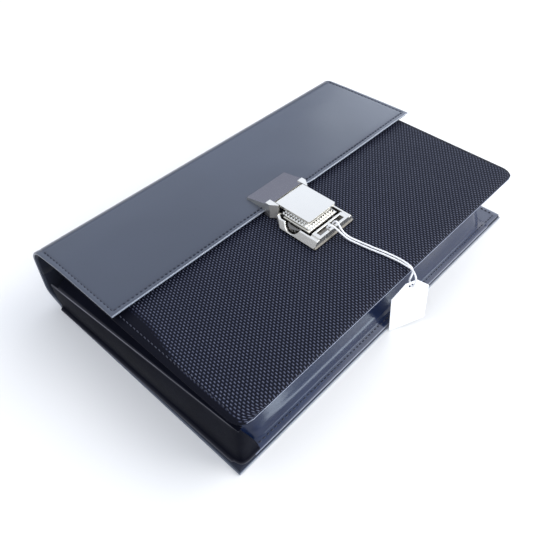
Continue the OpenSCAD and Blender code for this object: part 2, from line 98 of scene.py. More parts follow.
# ---- camera ----
def make_camera():
    data = bpy.data.cameras.new("camera")
    data.sensor_width = 36
    data.lens = 39.27
    data.clip_start = 0.01
    data.clip_end = 20
    camera = bpy.data.objects.new("camera", data)
    scene.collection.objects.link(camera)
    azimuth, elevation = math.radians(-47.1), math.radians(47.2)
    back = Vector((
        math.sin(azimuth) * math.cos(elevation),
        -math.cos(azimuth) * math.cos(elevation),
        math.sin(elevation),
    ))
    camera.location = place(-21.7, 92.0, 0) + back * 0.4491
    camera.rotation_mode = "QUATERNION"
    camera.rotation_quaternion = (-back).to_track_quat("-Z", "Y")
    scene.camera = camera


make_camera()


# ---- materials ----
class Nodes:
    """A node-based material with a Principled surface, and short calls to add nodes to it."""

    def __init__(self, name, roughness, metallic=0.0, specular=0.5, coat=0.0, coat_rough=0.1,
                 sheen=0.0, ior=1.5):
        self.material = bpy.data.materials.new(name)
        self.material.use_nodes = True
        self.tree = self.material.node_tree
        self.surface = self.tree.nodes["Principled BSDF"]
        for socket, value in (("Roughness", roughness), ("Metallic", metallic), ("IOR", ior),
                              ("Specular IOR Level", specular), ("Coat Weight", coat),
                              ("Coat Roughness", coat_rough), ("Sheen Weight", sheen)):
            self.surface.inputs[socket].default_value = value
        self.where = self.add("ShaderNodeTexCoord").outputs["Object"]
        self.height = None

    def add(self, kind, links=(), **settings):
        node = self.tree.nodes.new(kind)
        for key, value in settings.items():
            setattr(node, key, value)
        for socket, source in dict(links).items():
            if hasattr(source, "is_output"):
                self.tree.links.new(source, node.inputs[socket])
            else:
                node.inputs[socket].default_value = source
        return node

    def noise(self, scale, detail=3.0, stretch=None, rough=0.55):
        where = self.where
        if stretch:
            where = self.add("ShaderNodeMapping", {"Vector": where, "Scale": stretch}).outputs[0]
        links = {"Vector": where, "Scale": scale, "Detail": detail, "Roughness": rough}
        return self.add("ShaderNodeTexNoise", links).outputs["Fac"]

    def cells(self, scale, stretch=None):
        where = self.where
        if stretch:
            where = self.add("ShaderNodeMapping", {"Vector": where, "Scale": stretch}).outputs[0]
        return self.add("ShaderNodeTexVoronoi", {"Vector": where, "Scale": scale}).outputs["Distance"]

    def attribute(self, name):
        return self.add("ShaderNodeAttribute", attribute_name=name).outputs["Fac"]

    def math(self, operation, a, b=0.0):
        return self.add("ShaderNodeMath", {0: a, 1: b}, operation=operation).outputs[0]

    def between(self, value, low, high, from_low=0.0, from_high=1.0):
        """value taken from one range to another."""
        links = {"Value": value, "From Min": from_low, "From Max": from_high,
                 "To Min": low, "To Max": high}
        return self.add("ShaderNodeMapRange", links).outputs[0]

    def colours(self, value, *stops):
        """A colour that runs through the stops, each a place from 0 to 1 and a colour."""
        ramp = self.add("ShaderNodeValToRGB", {"Fac": value})
        elements = ramp.color_ramp.elements
        while len(elements) < len(stops):
            elements.new(0.5)
        for element, (at, colour) in zip(elements, stops):
            element.position = at
            element.color = (*colour, 1)
        return ramp.outputs["Color"]

    def tint_wear_and_light(self, plain, pale):
        """The plain colour, going over to a pale one where the attribute for wear and painted light
        rises: real wear in places, painted highlight along edges and ridges in others.
        """
        links = {0: self.attribute("wear"), 6: plain, 7: (*pale, 1)}
        return self.add("ShaderNodeMix", links, data_type="RGBA").outputs[2]

    def set(self, socket, source):
        self.tree.links.new(source, self.surface.inputs[socket])

    def bump(self, value, distance, strength=1.0):
        links = {"Height": value, "Distance": distance, "Strength": strength}
        if self.height is not None:
            links["Normal"] = self.height
        self.height = self.add("ShaderNodeBump", links).outputs[0]
        self.set("Normal", self.height)


def smooth_leather():
    m = Nodes("smooth_leather", roughness=0.28, ior=1.65, coat=0.22, coat_rough=0.16)
    patches = m.noise(14, 2)
    plain = m.colours(patches, (0.3, (0.020, 0.029, 0.052)), (0.7, (0.025, 0.035, 0.062)))
    # The pale colour paints highlight along the flap's rounded edges, and a paler line along the back's
    # bottom and side edges.
    m.set("Base Color", m.tint_wear_and_light(plain, (0.30, 0.33, 0.39)))
    m.set("Roughness", m.between(m.noise(900, 3), 0.25, 0.34))
    m.bump(m.noise(60, 3), 0.00012, 0.25)
    m.bump(m.cells(2600), 0.00003, 0.35)
    return m.material


def gusset_leather():
    m = Nodes("gusset_leather", roughness=0.22, ior=1.5, specular=0.33, coat=0.15, coat_rough=0.1)
    soft = m.noise(30, 2)
    plain = m.colours(soft, (0.3, (0.004, 0.011, 0.040)), (0.7, (0.007, 0.016, 0.052)))
    # The pale colour paints a paler line along the flange's outer edge, and the whole corner flange
    # paler as painted reflection of the bright room.
    m.set("Base Color", m.tint_wear_and_light(plain, (0.40, 0.42, 0.50)))
    m.set("Roughness", m.between(m.noise(700, 3), 0.20, 0.30))
    m.bump(m.noise(60, 2), 0.0003, 0.3)
    m.bump(m.cells(2200), 0.00003, 0.15)
    return m.material


# A darker copy of the bottom's leather, nearly without gloss: painted shade for the side walls and
# pocket strips, which lie out of the light.
def side_leather():
    m = Nodes("side_leather", roughness=0.45, ior=1.45, specular=0.02)
    soft = m.noise(45, 3)
    plain = m.colours(soft, (0.3, (0.0022, 0.0026, 0.0060)), (0.7, (0.0038, 0.0045, 0.0095)))
    # The pale colour paints a light line along the ridges, partly real wear and partly painted highlight
    # where the rolled edge catches the light.
    m.set("Base Color", m.tint_wear_and_light(plain, (0.26, 0.26, 0.29)))
    m.set("Roughness", m.between(m.noise(700, 3), 0.40, 0.52))
    m.bump(m.noise(110, 3), 0.0003, 0.4)
    m.bump(m.cells(2200), 0.00004, 0.4)
    return m.material


def woven_panel():
    m = Nodes("woven_panel", roughness=0.45, specular=0.13)
    height_and_sheen = m.attribute("height_and_sheen")
    fibres = m.noise(2600, 2, stretch=(1.0, 0.25, 1.0))
    tint = m.math("MULTIPLY", height_and_sheen, m.between(fibres, 0.75, 1.25))
    # The base colour follows height: float tops painted pale as painted sheen, the gaps between floats
    # near black, partly the yarn's navy and partly painted shade; values above 1 paint the highlight
    # along the bottom rim.
    m.set("Base Color", m.colours(
        tint, (0.2, (0.001, 0.0015, 0.006)), (0.48, (0.020, 0.024, 0.046)),
        (0.76, (0.135, 0.147, 0.198)), (1.0, (0.42, 0.45, 0.54))
    ))
    m.set("Roughness", m.between(height_and_sheen, 0.65, 0.36))
    m.bump(fibres, 0.00006, 0.5)
    return m.material


def woven_lining():
    m = Nodes("woven_lining", roughness=0.7, specular=0.25, sheen=0.05)
    threads = {"Vector": m.where, "Scale": 420.0, "Distortion": 0.6}
    warp = m.add("ShaderNodeTexWave", threads, bands_direction="X").outputs["Fac"]
    weft = m.add("ShaderNodeTexWave", threads, bands_direction="Y").outputs["Fac"]
    weave = m.math("MULTIPLY", warp, weft)
    m.set("Base Color", m.colours(weave, (0.1, (0.009, 0.012, 0.023)), (0.9, (0.015, 0.019, 0.034))))
    m.bump(weave, 0.00003, 0.3)
    m.bump(m.noise(40, 3), 0.0003, 0.25)
    return m.material


def board():
    m = Nodes("board", roughness=0.85, specular=0.2)
    m.set("Base Color", m.colours(m.noise(700, 4), (0.3, (0.33, 0.29, 0.22)), (0.7, (0.44, 0.40, 0.31))))
    m.bump(m.noise(500, 4), 0.00008, 0.5)
    return m.material


def thread():
    m = Nodes("thread", roughness=0.5, specular=0.4)
    twist = m.noise(1800, 2)
    m.set("Base Color", m.colours(twist, (0.3, (0.010, 0.012, 0.024)), (0.7, (0.028, 0.032, 0.052))))
    m.bump(twist, 0.00006, 0.6)
    return m.material


def chrome():
    """Polished on the faces that look up, satin on the sides and on the slide's points."""
    m = Nodes("chrome", roughness=0.07, metallic=1.0)
    normal = m.add("ShaderNodeTexCoord").outputs["Normal"]
    up = m.add("ShaderNodeSeparateXYZ", {"Vector": normal}).outputs["Z"]
    polish = m.between(up, 0.0, 1.0, 0.80, 0.95)
    smudge = m.noise(160, 3)
    m.set("Base Color", m.colours(
        m.math("ADD", m.math("MULTIPLY", polish, 0.75), m.math("MULTIPLY", smudge, 0.25)),
        (0.0, (0.72, 0.70, 0.64)), (0.75, (0.75, 0.73, 0.68)), (1.0, (0.78, 0.755, 0.70))
    ))
    satin = m.between(smudge, 0.32, 0.46)
    m.set("Roughness", m.between(polish, satin, m.between(smudge, 0.05, 0.09)))
    return m.material


def steel():
    m = Nodes("steel", roughness=0.26, metallic=1.0)
    brush = m.noise(900, 2, stretch=(1.0, 12.0, 12.0))
    m.set("Base Color", m.colours(brush, (0.2, (0.12, 0.115, 0.11)), (0.8, (0.24, 0.23, 0.22))))
    m.set("Roughness", m.between(brush, 0.2, 0.34))
    m.bump(brush, 0.00002, 0.3)
    return m.material


def cotton():
    m = Nodes("cotton", roughness=0.85, specular=0.2, sheen=0.3)
    fuzz = m.noise(3000, 3)
    m.set("Base Color", m.colours(fuzz, (0.25, (0.78, 0.78, 0.78)), (0.6, (0.95, 0.95, 0.95))))
    m.bump(fuzz, 0.00012, 0.5)
    return m.material


def paper():
    m = Nodes("paper", roughness=0.6, specular=0.35)
    fibre = m.noise(1300, 4)
    m.set("Base Color", m.colours(fibre, (0.3, (0.95, 0.95, 0.95)), (0.7, (0.98, 0.98, 0.98))))
    m.bump(fibre, 0.00003, 0.3)
    return m.material


def floor_paint():
    m = Nodes("floor_paint", roughness=0.55, specular=0.3)
    m.set("Base Color", m.colours(m.noise(3, 2), (0.3, (0.87, 0.86, 0.835)), (0.7, (0.89, 0.88, 0.855))))
    return m.material


MATERIALS = {
    "leather": smooth_leather(),
    "gusset_leather": gusset_leather(),
    "side_leather": side_leather(),
    "weave": woven_panel(),
    "lining": woven_lining(),
    "board": board(),
    "thread": thread(),
    "chrome": chrome(),
    "steel": steel(),
    "string": cotton(),
    "card": paper(),
}


# ---- mesh helpers ----
def make_piece(name, points, faces, slot, values=None, weld=0.004):
    """A smooth piece from points in millimetres, with its slot's material.

    values holds one number per point for each attribute.
    """
    mesh = bpy.data.meshes.new(name)
    mesh.from_pydata([place(*p) for p in points], [], faces)
    for key, numbers in (values or {}).items():
        mesh.attributes.new(key, "FLOAT", "POINT").data.foreach_set("value", numbers)
    work = bmesh.new()
    work.from_mesh(mesh)
    bmesh.ops.remove_doubles(work, verts=work.verts, dist=weld * MM)
    bmesh.ops.recalc_face_normals(work, faces=work.faces)
    work.to_mesh(mesh)
    work.free()
    mesh.materials.append(MATERIALS[slot])
    mesh.polygons.foreach_set("use_smooth", [True] * len(mesh.polygons))
    piece = bpy.data.objects.new(name, mesh)
    scene.collection.objects.link(piece)
    return piece


# shares of a rounded edge's reach where points lie, closest at the very edge
EDGE_STEPS = (0.0, 0.04, 0.15, 0.33, 0.62, 1.0)


def steps(start, end, step, edge):
    """Values from start to end about a step apart, closer together within edge of both ends."""
    span = end - start
    near = [edge * k for k in EDGE_STEPS]
    inner = span - 2 * near[-1]
    count = max(1, round(inner / step))
    middle = [near[-1] + inner * i / count for i in range(1, count)]
    return [start + d for d in near + middle + [span - d for d in reversed(near)]]


def rounded(distance, thick, edge):
    """Half the thickness of a sheet at a distance from its rounded edge."""
    inside = min(max(distance, 0.0), edge) / edge
    return thick / 2 * math.sqrt(max(0.0, 1 - (1 - inside) ** 2))


def grid_faces(columns, rows):
    """Quads of a grid whose points run along its rows."""
    corners = (0, 1, columns + 1, columns)
    return [[j * columns + i + k for k in corners] for j in range(rows - 1) for i in range(columns - 1)]


def grid_rim(columns, rows):
    """Points round the outside of such a grid, in order."""
    rim = list(range(columns))
    rim += [j * columns + columns - 1 for j in range(1, rows)]
    rim += [(rows - 1) * columns + i for i in range(columns - 2, -1, -1)]
    return rim + [j * columns for j in range(rows - 2, 0, -1)]


def sheet(name, us, vs, surface, thick, edge, slot, gap=None, values=None):
    """A closed sheet of one thickness under surface(u, v, depth), with rounded edges.

    gap(u, v) is the distance to the nearest free edge. values(u, v) gives attributes.
    """
    if gap is None:
        def gap(u, v):
            return min(u - us[0], us[-1] - u, v - vs[0], vs[-1] - v)
    outer, inner = [], []
    for v in vs:
        for u in us:
            half = rounded(gap(u, v), thick, edge)
            outer.append(surface(u, v, thick / 2 - half))
            inner.append(surface(u, v, thick / 2 + half))
    columns, rows = len(us), len(vs)
    below = columns * rows
    faces = grid_faces(columns, rows)
    faces += [[k + below for k in reversed(quad)] for quad in faces]
    rim = grid_rim(columns, rows)
    for a, b in zip(rim, rim[1:] + rim[:1]):
        faces.append([b, a, a + below, b + below])
    numbers = None
    if values:
        per_point = [values(u, v) for v in vs for u in us] * 2
        numbers = {key: [p[key] for p in per_point] for key in per_point[0]}
    return make_piece(name, outer + inner, faces, slot, values=numbers)


def fold_path(parts):
    """A curve in y and z from straight and arc parts. Returns its length and a function that
    gives the point and the outward normal at a distance along it."""
    ends = []
    total = 0.0
    for part in parts:
        if part[0] == "line":
            length = math.dist(part[1], part[2])
        else:
            length = part[2] * math.radians(part[4] - part[3])
        ends.append((total, total + length, part))
        total += length

    def at(s):
        low, high, part = next((e for e in ends if s <= e[1] + 1e-9), ends[-1])
        if part[0] == "line":
            (y0, z0), (y1, z1) = part[1], part[2]
            k = (s - low) / (high - low)
            dy, dz = (y1 - y0) / (high - low), (z1 - z0) / (high - low)
            return (y0 + (y1 - y0) * k, z0 + (z1 - z0) * k), (dz, -dy)
        (cy, cz), radius, start = part[1], part[2], part[3]
        angle = math.radians(start) + (s - low) / radius
        normal = (math.cos(angle), math.sin(angle))
        return (cy + radius * normal[0], cz + radius * normal[1]), normal

    return total, at


def ease(value):
    value = min(max(value, 0.0), 1.0)
    return value * value * (3 - 2 * value)


def wobble(x, y, scale, seed):
    """Soft unevenness between about -1 and 1."""
    return noise.noise(Vector((x / scale, y / scale, seed)))


# ---- the tag's string ----
STRING_D = 1.3
STRING_ROUTE = [
    (-2.1, 60.2, 54.4), (-3.9, 60.2, 55.2), (-4.7, 60.2, 57.0), (-4.2, 57.6, 59.6),
    (-3.0, 54.9, 58.6), (-1.6, 52.3, 56.0), (-0.3, 49.8, 53.6), (1.0, 46.0, 51.5),
    (2.4, 40.0, 50.8), (4.1, 30.0, 50.8), (6.2, 20.0, 50.8), (7.4, 11.0, 50.8),
    (7.3, 4.6, 51.0), (6.6, 0.2, 51.6), (4.6, -3.6, 51.9), (2.6, -6.6, 50.9),
    (1.0, -8.0, 48.4), (0.6, -7.6, 45.7), (0.9, -6.9, 43.9), (1.7, -5.2, 43.1),
    (2.5, -3.5, 43.9), (2.8, -2.8, 45.7), (3.6, -2.9, 48.2), (5.6, -2.3, 50.2),
    (7.9, 0.2, 51.0), (8.9, 4.6, 50.9), (9.0, 11.0, 50.8), (7.8, 20.0, 50.8),
    (5.7, 30.0, 50.8), (4.0, 40.0, 50.8), (2.6, 46.0, 51.5), (1.4, 49.8, 53.6),
    (0.9, 52.3, 56.0), (1.0, 54.9, 58.6), (1.4, 57.6, 59.6), (1.7, 60.2, 57.0),
    (0.9, 60.2, 55.2), (-0.9, 60.2, 54.4),
]


def through(points, steps_each):
    """A smooth curve through the points."""
    points = [Vector(p) for p in points]
    padded = [2 * points[0] - points[1]] + points + [2 * points[-1] - points[-2]]
    curve = []
    for a, b, c, d in zip(padded, padded[1:], padded[2:], padded[3:]):
        for k in range(steps_each):
            t = k / steps_each
            curve.append(0.5 * (
                2 * b + (c - a) * t + (2 * a - 5 * b + 4 * c - d) * t ** 2
                + (3 * b - a - 3 * c + d) * t ** 3
            ))
    return curve + [points[-1]]


def twisted_tube(name, curve, radius, strands, pitch, slot):
    """A tube of twisted strands along a curve, closed at both ends. The curve is in millimetres."""
    sides = strands * 5
    tangents = [(b - a).normalized() for a, b in zip(curve, curve[1:])]
    tangents.append(tangents[-1])
    side = tangents[0].orthogonal().normalized()
    points, faces, travelled = [], [], 0.0
    for i, (centre, along) in enumerate(zip(curve, tangents)):
        side = (side - along * side.dot(along)).normalized()
        other = along.cross(side)
        if i:
            travelled += (centre - curve[i - 1]).length
        turn = travelled / pitch * 2 * math.pi
        for k in range(sides):
            angle = 2 * math.pi * k / sides
            lobe = abs(math.cos((angle - turn) * strands / 2))
            r = radius * (0.72 + 0.28 * lobe ** 0.6)
            points.append(centre + (side * math.cos(angle) + other * math.sin(angle)) * r)
    for i in range(len(curve) - 1):
        for k in range(sides):
            a, b = i * sides + k, i * sides + (k + 1) % sides
            faces.append([a, b, b + sides, a + sides])
    faces.append(list(range(sides))[::-1])
    faces.append([(len(curve) - 1) * sides + k for k in range(sides)])
    return make_piece(name, points, faces, slot, weld=0.0001)


def make_string():
    """The doubled string, whose two runs lie a little apart over the front panel."""
    curve = through(STRING_ROUTE, 9)
    strand_gap = 0.45
    for i, point in enumerate(curve):
        share = i / (len(curve) - 1)
        apart = ease(1 - abs(share - 0.25) / 0.13) - ease(1 - abs(share - 0.75) / 0.13)
        point.x -= strand_gap * apart
    string = twisted_tube("tag_string_twisted", curve, STRING_D / 2, 3, 4.2, "string")
    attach(string, "bag")
    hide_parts("tag_string")
    length = sum((b - a).length for a, b in zip(curve, curve[1:]))
    tuple(place(*STRING_ROUTE[0]))
    [tuple(place(*p)) for p in curve]


make_string()


# ---- outer leather and lining: two sheets each, which meet in the middle of the spine ----
def half_width(distance_from_back):
    """Half the width of the leather, which narrows a little from the back to the spine."""
    return BAG_W / 2 - (BAG_W - FLAP_W) / 2 * ease(distance_from_back)


BACK_LENGTH, back_path = fold_path([
    ("line", (0, 0), (LOW_C[0], 0)),
    ("arc", LOW_C, LOW_R, -90, 0),
    ("line", (BAG_H, LOW_C[1]), (BAG_H, SEAM_Z)),
])
FLAP_LENGTH, flap_path = fold_path([
    ("line", (BAG_H, SEAM_Z), (BAG_H, HIGH_C[1])),
    ("arc", HIGH_C, HIGH_R, 0, 90),
    ("line", (HIGH_C[0], FLAP_TOP), (FLAP_Y, FLAP_TOP)),
])
ARC_START = LOW_C[0]
CORNER_PULL = 1.5


def back_surface(inset, narrower):
    def surface(u, v, depth):
        (y, z), (ny, nz) = back_path(v)
        x = u * (half_width((v - ARC_START + 8) / 16) - narrower)
        x -= CORNER_PULL * ease((v - ARC_START - 6) / 20) * max(0.0, -u) ** 6
        lift = inset + depth
        return x, y - ny * lift, z - nz * lift
    return surface


SKEW_START_Y = 190.0
SKEW_REACH = 89.0
SKEW_OUT = 4.3
SKEW_FORWARD = 2.8


def flap_shift(u, y):
    """How far the flap's right half lies out to the side and to the front of a true rectangle."""
    share = max(0.0, (SKEW_START_Y - y) / SKEW_REACH)
    return SKEW_OUT * share * max(0.0, u) ** 3, -SKEW_FORWARD * share ** 3 * ease((u - 0.1) / 0.12)


def flap_surface(inset, narrower):
    def surface(u, v, depth):
        (y, z), (ny, nz) = flap_path(v)
        flat = ease((v - 30) / 20)
        x = u * (FLAP_W / 2 - narrower)
        x -= CORNER_PULL * ease((60 - v) / 50) * max(0.0, -u) ** 6
        near_clasp = ease((math.hypot(x - CLASP_X, (y - 110) * 1.5) - 20) / 25)
        rise = 0.45 * flat * near_clasp * max(0.0, 0.5 + wobble(x, y, 55, 3.1))
        seam = min(FLAP_W / 2 - abs(x), FLAP_LENGTH - v)
        groove = 0.25 * math.exp(-((seam - FLAP_SEAM) / 0.6) ** 2) * ease((v - 14) / 10)
        lift = inset + depth - rise + (groove if inset == 0 else 0)
        dx, dy = flap_shift(u, y)
        return x + dx, y + dy - ny * lift, z - nz * lift
    return surface


def free_edges(width, length, joined_at_start):
    """Distance to the free edges of a sheet whose one end goes on in the next sheet."""
    def gap(u, v):
        end = length - v if joined_at_start else v
        return min((1 - abs(u)) * width, end)
    return gap


SEAM_LINES = (1.9, 2.4, 2.75, 3.1, 3.45, 3.8, 4.4)


def across(half_w, step, edge, seam=False):
    xs = set(steps(-half_w, half_w, step, edge))
    if seam:
        xs.update(side * (half_w - line) for line in SEAM_LINES for side in (-1, 1))
    return [x / half_w for x in sorted(xs)]


def along(length, fine_from, fine_to, step, edge, free_at_start, seam=False):
    """Values along a sheet: close at its free end and over the fold, wider elsewhere."""
    ends = [edge * k for k in EDGE_STEPS]
    values = set(ends if free_at_start else [length - e for e in ends])
    values.update((0.0, length))
    if seam:
        values.update(length - line for line in SEAM_LINES)
    start, end = (edge, length) if free_at_start else (0.0, length - edge)
    s = start
    while s < end - 0.5:
        values.add(round(s, 4))
        s += 1.2 if fine_from - 2 <= s <= fine_to + 2 else step
    return sorted(values)


def edge_fade(distance, reach):
    """1 at an edge, falling to 0 at its reach."""
    return max(0.0, 1 - distance / reach) ** 1.5


# Painted highlight on the flap: a faint pale strip between the stitches and the edges, a bright line
# along the rounded front edge and a fainter one along the sides.
def painted_edge_light(from_side, from_front):
    strip = 0.05 * (1 - ease((min(from_side, from_front) - 2.4) / 0.6))
    return min(1.0, strip + 1.1 * edge_fade(from_front, 0.6) + 0.25 * edge_fade(from_side, 0.6))


def make_outer():
    """Leather and lining of the back and of the flap, each with its half of the spine."""
    half_w = BAG_W / 2
    low_end = ARC_START + LOW_R * math.pi / 2
    us = across(half_w, 7.5, 0.9)
    # The back is painted paler along its bottom edge and faintly along its sides.
    back = sheet("back_and_spine_leather", us,
                 along(BACK_LENGTH, ARC_START, low_end, 7.5, 0.9, True),
                 back_surface(0, 0), SKIN, 0.9, "leather", free_edges(half_w, BACK_LENGTH, False),
                 lambda u, v: {"wear": max(0.9 * edge_fade(v, 0.8), 0.25 * edge_fade((1 - abs(u)) * half_w, 0.8))})
    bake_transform(back)
    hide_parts("back_panel", "spine_leather")
    high_start = HIGH_C[1] - SEAM_Z
    high_end = high_start + HIGH_R * math.pi / 2
    flap = sheet("flap_and_spine_leather", across(FLAP_W / 2, 5.0, 0.9, True),
                 along(FLAP_LENGTH, high_start, high_end, 5.0, 0.9, False, True),
                 flap_surface(0, 0), SKIN, 0.9, "leather", free_edges(FLAP_W / 2, FLAP_LENGTH, True),
                 lambda u, v: {"wear": painted_edge_light((1 - abs(u)) * FLAP_W / 2, FLAP_LENGTH - v)})
    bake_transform(flap)
    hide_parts("flap_leather")
    inset = 1.1
    back_lining = sheet("back_and_spine_lining", across(half_w - inset, 7.5, 0.8),
                        along(BACK_LENGTH - inset, ARC_START - inset, low_end, 7.5, 0.8, True),
                        lambda u, v, d: back_surface(SKIN, inset)(u, v + inset, d),
                        SKIN, 0.8, "lining", free_edges(half_w - inset, BACK_LENGTH - inset, False))
    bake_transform(back_lining)
    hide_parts("back_lining", "spine_lining")
    flap_lining = sheet("flap_and_spine_lining", across(FLAP_W / 2 - inset, 7.5, 0.8),
                        along(FLAP_LENGTH - inset, high_start, high_end, 7.5, 0.8, False),
                        flap_surface(SKIN, inset), SKIN, 0.8, "lining",
                        free_edges(FLAP_W / 2 - inset, FLAP_LENGTH - inset, True))
    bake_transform(flap_lining)
    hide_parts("flap_lining")


make_outer()


# ---- front panel of dotted weave ----
WARP_STEP = 1.8
WEFT_STEP = 1.39
WEAVE_H = 0.38
ROLL = 9.0
ROLL_DROP = 2.2
SQUEEZE_REACH = 22.0
# tones of the painted highlight along the bottom rim, where 1 is the top of the weave's brightest dots
RIM_HIGHLIGHT_TONE = 1.3
UNDER_RIM_HIGHLIGHT_TONE = 1.1


def inside_distance(x, y):
    """Distance from a point of the front panel to its rounded outline, in plan."""
    dx = FRONT_W / 2 - abs(x)
    dy = min(y, FRONT_H - y)
    if y < CORNER_R and dx < CORNER_R:
        return CORNER_R - math.hypot(CORNER_R - dx, CORNER_R - y)
    return min(dx, dy)


def squeezed(x, y):
    """x moved in near the two round corners, so that straight rows fill the rounded outline."""
    if y >= CORNER_R:
        return x
    half = FRONT_W / 2
    cut = CORNER_R - math.sqrt(max(0.0, CORNER_R ** 2 - (CORNER_R - y) ** 2))
    from_x = half - SQUEEZE_REACH
    if abs(x) <= from_x:
        return x
    return math.copysign(from_x + (abs(x) - from_x) * (half - cut - from_x) / SQUEEZE_REACH, x)


def roll_down(x, y):
    """How far the panel's surface drops towards its edges."""
    d = inside_distance(x, y)
    if d >= ROLL:
        return 0.0
    k = 1 - max(d, 0) / ROLL
    return ROLL_DROP * (1 - math.sqrt(max(0.0, 1 - k * k)))


def weave_height(i, j):
    """Height of the weave at half steps across and along it: a float, its slopes and gaps."""
    if i % 2:
        return 0.0 if j % 2 == 0 else 0.12
    if j % 2:
        return 0.8
    return 1.0 if (i // 2 + j // 2) % 2 == 0 else 0.1


def make_front():
    """The woven panel: a grid with a point at every half thread, closed underneath."""
    columns = 2 * round(FRONT_W / WARP_STEP) + 1
    rows = 2 * round(FRONT_H / WEFT_STEP) + 1
    points, height_and_sheen = [], []
    for j in range(rows):
        y = FRONT_H * j / (rows - 1)
        for i in range(columns):
            x = squeezed(FRONT_W * (i / (columns - 1) - 0.5), y)
            d = inside_distance(x, y)
            border = min(FRONT_W / 2 - abs(x), FRONT_H - y)
            # Near the flap's top-left corner the plain border widens, so the dots flatten and darken
            # there: painted shade standing in for the flap's shadow.
            plain = 2.0 + 5.0 * ease((y - 45) / 50) * ease((-110 - x) / 25)
            h = weave_height(i, j) * ease((border - plain) / (0.4 + plain))
            sag = 0.25 * wobble(x, y, 60, 8.7) * ease(d / 12)
            z = BAG_T - 0.1 - WEAVE_H * (1 - h) - roll_down(x, y) + min(sag, 0.0)
            points.append((x, y, z))
            height_and_sheen.append(0.8 * h if j else RIM_HIGHLIGHT_TONE)
    faces = grid_faces(columns, rows)
    rim = grid_rim(columns, rows)
    ring = rim
    floor_z = BAG_T - SKIN
    for share, inward in ((0.35, -0.1), (1.0, 0.45)):
        lower = []
        for k in rim:
            x, y, z = points[k]
            lower.append(len(points))
            points.append((x * (1 - inward / 150), y + (inward if y < 90 else -inward),
                           z + (floor_z - z) * share))
            height_and_sheen.append(UNDER_RIM_HIGHLIGHT_TONE if share < 1 and y < 1 else 0.0)
        for a, b, c, d in zip(ring[1:] + ring[:1], ring, lower, lower[1:] + lower[:1]):
            faces.append([a, b, c, d])
        ring = lower
    points.append((0, FRONT_H / 2, floor_z))
    height_and_sheen.append(0.0)
    centre = len(points) - 1
    faces += [[a, b, centre] for a, b in zip(ring[1:] + ring[:1], ring)]
    panel = make_piece("woven_front_panel", points, faces, "weave", values={"height_and_sheen": height_and_sheen})
    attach(panel, "bag")
    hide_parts("front_panel")


make_front()


def make_front_lining():
    def surface(u, v, depth):
        x = squeezed(u, v)
        return x, v, BAG_T - SKIN - 0.9 * roll_down(x, v) * (1 - depth / SKIN) - depth

    us = steps(-FRONT_W / 2 + 0.4, FRONT_W / 2 - 0.4, 9, 0.9)
    vs = steps(0.4, FRONT_H - 0.4, 9, 0.9)
    vs = sorted(set(vs) | {1.6, 2.4, 3.5, 5.0, 7.0, 9.0})
    lining = sheet("front_lining_cloth", us, vs, surface, SKIN, 0.9, "lining")
    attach(lining, "bag")
    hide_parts("front_lining")


make_front_lining()


def make_divider():
    low, high = size_of("divider")
    thick = 1.4

    def surface(u, v, depth):
        share = (v - low.y) / (high.y - low.y)
        z = high.z + (low.z + thick - high.z) * share
        sag = 0.5 * (1 + wobble(u, v, 70, 5.5)) * math.sin(math.pi * share) * (1 - (u / high.x) ** 2)
        return u, v, z - sag - depth

    piece = sheet("divider_cloth", steps(low.x, high.x, 9, 0.7), steps(low.y, high.y, 8, 0.7),
                  surface, thick, 0.7, "lining")
    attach(piece, "bag")
    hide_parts("divider")


make_divider()


# ---- gussets ----
RIDGE_LOW, RIDGE_HIGH = 44.0, 25.0
GUSSET_Y0, GUSSET_Y1 = 4.0, 176.0
GUSSET_T = 1.2
SIDE_IN = FRONT_W / 2 - 1
SIDE_OUT = 3.0
VALLEY_IN = 13.0
RIGHT_Y0 = 31.0
WALL_H = 39.0
MOUTH_SLANT = 6.5


def ridge_z(y):
    return RIDGE_LOW + (RIDGE_HIGH - RIDGE_LOW) * (y - GUSSET_Y0) / (GUSSET_Y1 - GUSSET_Y0)


def share_at(y):
    return (FRONT_IN + 1 - ridge_z(y)) / (FRONT_IN + 1 - ridge_z(GUSSET_Y1))


def ridge_point(y):
    return SIDE_IN + SIDE_OUT * share_at(y), ridge_z(y) - 1


def ribbon(points, steps_each):
    """Points and outward normals along a line seen in plan, which runs towards the bag's bottom."""
    line = [(p.x, p.y) for p in through([(x, y, 0) for x, y in points], steps_each)]
    normals = []
    for a, b in zip([line[0]] + line[:-1], line[1:] + [line[-1]]):
        length = math.dist(a, b)
        normals.append(((a[1] - b[1]) / length, (b[0] - a[0]) / length))
    return line, normals


